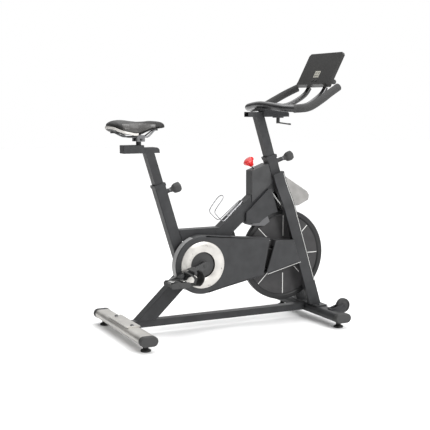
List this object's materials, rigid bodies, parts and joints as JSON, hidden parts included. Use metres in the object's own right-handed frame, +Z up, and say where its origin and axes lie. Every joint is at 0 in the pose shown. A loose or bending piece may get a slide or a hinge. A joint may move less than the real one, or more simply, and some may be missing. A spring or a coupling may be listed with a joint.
{
  "type": "exercise bike",
  "caption": "Indoor cycle with a belt driven flywheel, sliding seat and handlebar posts, a tilting console and a push-down brake knob.",
  "frame": {"origin": "on the floor, at the middle of the bike's box in plan", "axes": "+X forwards, +Y to the rider's left, +Z up"},
  "size_m": [1.0782, 0.59, 1.2236],
  "materials": {
    "frame_paint": "satin black powder coat",
    "silver_paint": "satin silver paint",
    "steel": "plain steel",
    "dark_steel": "dark plated steel",
    "flywheel_iron": "black painted iron",
    "black_plastic": "fine moulded texture",
    "shroud_plastic": "satin moulded shroud",
    "silver_plastic": "silver metallic plastic",
    "red_plastic": "red moulded plastic",
    "rubber": "matte rubber",
    "grip_foam": "fine foam",
    "saddle_cover": "synthetic leather",
    "screen": "display window"
  },
  "bodies": {
    "frame": {"base_rail": "frame_paint", "rear_stabilizer": "silver_paint", "front_stabilizer": "frame_paint", "end_caps": "black_plastic", "frame_bolts": "steel", "rear_leg": "frame_paint", "seat_tube": "frame_paint", "top_tube": "frame_paint", "down_tube": "frame_paint", "bottom_bracket_shell": "frame_paint", "bearings": "steel", "head_tube": "frame_paint", "fork_blades": "frame_paint", "axle_brackets": "frame_paint", "tube_collars": "black_plastic", "head_cover": "shroud_plastic", "nose_housing": "silver_plastic", "fender": "shroud_plastic", "guard_backplate": "black_plastic", "belt_guard": "shroud_plastic", "guard_ring": "silver_plastic", "front_guard": "shroud_plastic", "drive_belt": "rubber", "bottle_cage": "steel"},
    "seat_post": {"seat_post": "frame_paint"},
    "seat_carriage": {"seat_carriage": "frame_paint"},
    "carriage_knob": {"carriage_knob": "black_plastic"},
    "saddle": {"saddle_clamp": "dark_steel", "saddle_rails": "steel", "saddle_shell": "black_plastic", "saddle_cushion": "saddle_cover"},
    "seat_pin": {"seat_pin": "dark_steel"},
    "seat_knob": {"seat_knob": "black_plastic"},
    "bar_post": {"handlebar_post": "frame_paint"},
    "handlebar": {"handlebar_carriage": "frame_paint", "handlebar": "frame_paint", "bar_grips": "grip_foam"},
    "lock_lever": {"lock_lever": "black_plastic"},
    "bar_pin": {"bar_pin": "dark_steel"},
    "bar_knob": {"bar_knob": "black_plastic"},
    "console": {"console_case": "shroud_plastic", "console_screen": "screen"},
    "button_up": {"button_up": "black_plastic"},
    "button_down": {"button_down": "black_plastic"},
    "crank": {"crank_spindle": "steel", "crank_pulley": "black_plastic", "crank_arms": "dark_steel"},
    "pedal_right": {"pedal_right": "black_plastic"},
    "pedal_left": {"pedal_left": "black_plastic"},
    "flywheel": {"flywheel": "flywheel_iron", "flywheel_axle": "steel"},
    "resistance_rod": {"resistance_rod": "dark_steel"},
    "resistance_knob": {"resistance_knob": "red_plastic"},
    "magnet_caliper": {"magnet_caliper": "dark_steel"},
    "foot_rear_right": {"foot_rear_right": "rubber"},
    "foot_rear_left": {"foot_rear_left": "rubber"},
    "foot_front_right": {"foot_front_right": "rubber"},
    "foot_front_left": {"foot_front_left": "rubber"},
    "wheel_right": {"wheel_right": "black_plastic"},
    "wheel_left": {"wheel_left": "black_plastic"}
  },
  "joints": [
    {"name": "seat_height", "type": "slide", "parent": "frame", "child": "seat_post", "axis": [-0.2957, 0, 0.9553], "range_m": [-0.11, 0.12]},
    {"name": "saddle_slide", "type": "slide", "parent": "seat_post", "child": "seat_carriage", "axis": [1, 0, 0], "range_m": [-0.03, 0.03]},
    {"name": "carriage_knob_turn", "type": "hinge", "parent": "seat_carriage", "child": "carriage_knob", "pos_m": [-0.44613, 0, 0.8], "axis": [0, 1, 0], "range_deg": [-360, 360]},
    {"name": "saddle_tilt", "type": "hinge", "parent": "seat_carriage", "child": "saddle", "pos_m": [-0.40613, 0, 0.8455], "axis": [0, 1, 0], "range_deg": [-8, 8]},
    {"name": "seat_pin_pull", "type": "slide", "parent": "frame", "child": "seat_pin", "axis": [0.9553, 0, 0.2957], "range_m": [0, 0.012], "stiffness_N_per_m": 400, "springref_m": -0.02},
    {"name": "seat_knob_turn", "type": "hinge", "parent": "seat_pin", "child": "seat_knob", "pos_m": [-0.25049, 0, 0.62925], "axis": [0.9553, 0, 0.2957], "range_deg": [-360, 360]},
    {"name": "bar_height", "type": "slide", "parent": "frame", "child": "bar_post", "axis": [-0.2957, 0, 0.9553], "range_m": [-0.06, 0.04]},
    {"name": "bar_slide", "type": "slide", "parent": "bar_post", "child": "handlebar", "axis": [1, 0, 0], "range_m": [-0.03, 0.03]},
    {"name": "lever_turn", "type": "hinge", "parent": "handlebar", "child": "lock_lever", "pos_m": [0.26806, 0, 0.92], "axis": [0, 0, 1], "range_deg": [-100, 100]},
    {"name": "bar_pin_pull", "type": "slide", "parent": "frame", "child": "bar_pin", "axis": [0.9553, 0, 0.2957], "range_m": [0, 0.012], "stiffness_N_per_m": 400, "springref_m": -0.02},
    {"name": "bar_knob_turn", "type": "hinge", "parent": "bar_pin", "child": "bar_knob", "pos_m": [0.30883, 0, 0.75076], "axis": [0.9553, 0, 0.2957], "range_deg": [-360, 360]},
    {"name": "console_tilt", "type": "hinge", "parent": "handlebar", "child": "console", "pos_m": [0.48306, 0, 1.09], "axis": [0, 1, 0], "range_deg": [-5, 25]},
    {"name": "button_up_press", "type": "slide", "parent": "console", "child": "button_up", "axis": [0.8878, 0, -0.4602], "range_m": [0, 0.0015], "stiffness_N_per_m": 300, "springref_m": -0.0015},
    {"name": "button_down_press", "type": "slide", "parent": "console", "child": "button_down", "axis": [0.8878, 0, -0.4602], "range_m": [0, 0.0015], "stiffness_N_per_m": 300, "springref_m": -0.0015},
    {"name": "flywheel_spin", "type": "hinge", "parent": "frame", "child": "flywheel", "pos_m": [0.295, 0, 0.305], "axis": [0, 1, 0], "continuous": true},
    {"name": "crank_spin", "type": "hinge", "parent": "frame", "child": "crank", "pos_m": [-0.148, 0, 0.302], "axis": [0, 1, 0], "continuous": true},
    {"name": "pedal_right_spin", "type": "hinge", "parent": "crank", "child": "pedal_right", "pos_m": [-0.30305, -0.163, 0.24557], "axis": [0, 1, 0], "continuous": true},
    {"name": "pedal_left_spin", "type": "hinge", "parent": "crank", "child": "pedal_left", "pos_m": [0.00705, 0.163, 0.35843], "axis": [0, 1, 0], "continuous": true},
    {"name": "brake_push", "type": "slide", "parent": "frame", "child": "resistance_rod", "axis": [0.6428, 0, -0.766], "range_m": [0, 0.006], "stiffness_N_per_m": 1500, "springref_m": -0.006},
    {"name": "resistance_turn", "type": "hinge", "parent": "resistance_rod", "child": "resistance_knob", "pos_m": [0.151, 0, 0.7], "axis": [-0.6428, 0, 0.766], "range_deg": [0, 1080]},
    {"name": "caliper_swing", "type": "hinge", "parent": "frame", "child": "magnet_caliper", "pos_m": [0.117, 0, 0.462], "axis": [0, 1, 0], "range_deg": [0, 4]},
    {"name": "foot_rear_right_turn", "type": "hinge", "parent": "frame", "child": "foot_rear_right", "pos_m": [-0.481, -0.25, 0.02], "axis": [0, 0, 1], "range_deg": [-360, 360]},
    {"name": "foot_rear_left_turn", "type": "hinge", "parent": "frame", "child": "foot_rear_left", "pos_m": [-0.481, 0.25, 0.02], "axis": [0, 0, 1], "range_deg": [-360, 360]},
    {"name": "foot_front_right_turn", "type": "hinge", "parent": "frame", "child": "foot_front_right", "pos_m": [0.444, -0.25, 0.02], "axis": [0, 0, 1], "range_deg": [-360, 360]},
    {"name": "foot_front_left_turn", "type": "hinge", "parent": "frame", "child": "foot_front_left", "pos_m": [0.444, 0.25, 0.02], "axis": [0, 0, 1], "range_deg": [-360, 360]},
    {"name": "wheel_right_spin", "type": "hinge", "parent": "frame", "child": "wheel_right", "pos_m": [0.50613, -0.19, 0.08248], "axis": [0, 1, 0], "continuous": true},
    {"name": "wheel_left_spin", "type": "hinge", "parent": "frame", "child": "wheel_left", "pos_m": [0.50613, 0.19, 0.08248], "axis": [0, 1, 0], "continuous": true}
  ],
  "couplings": [
    {"joint": "crank_spin", "follows": "flywheel_spin", "ratio": 0.27778},
    {"joint": "caliper_swing", "follows": "resistance_turn", "ratio": 0.0037037}
  ]
}
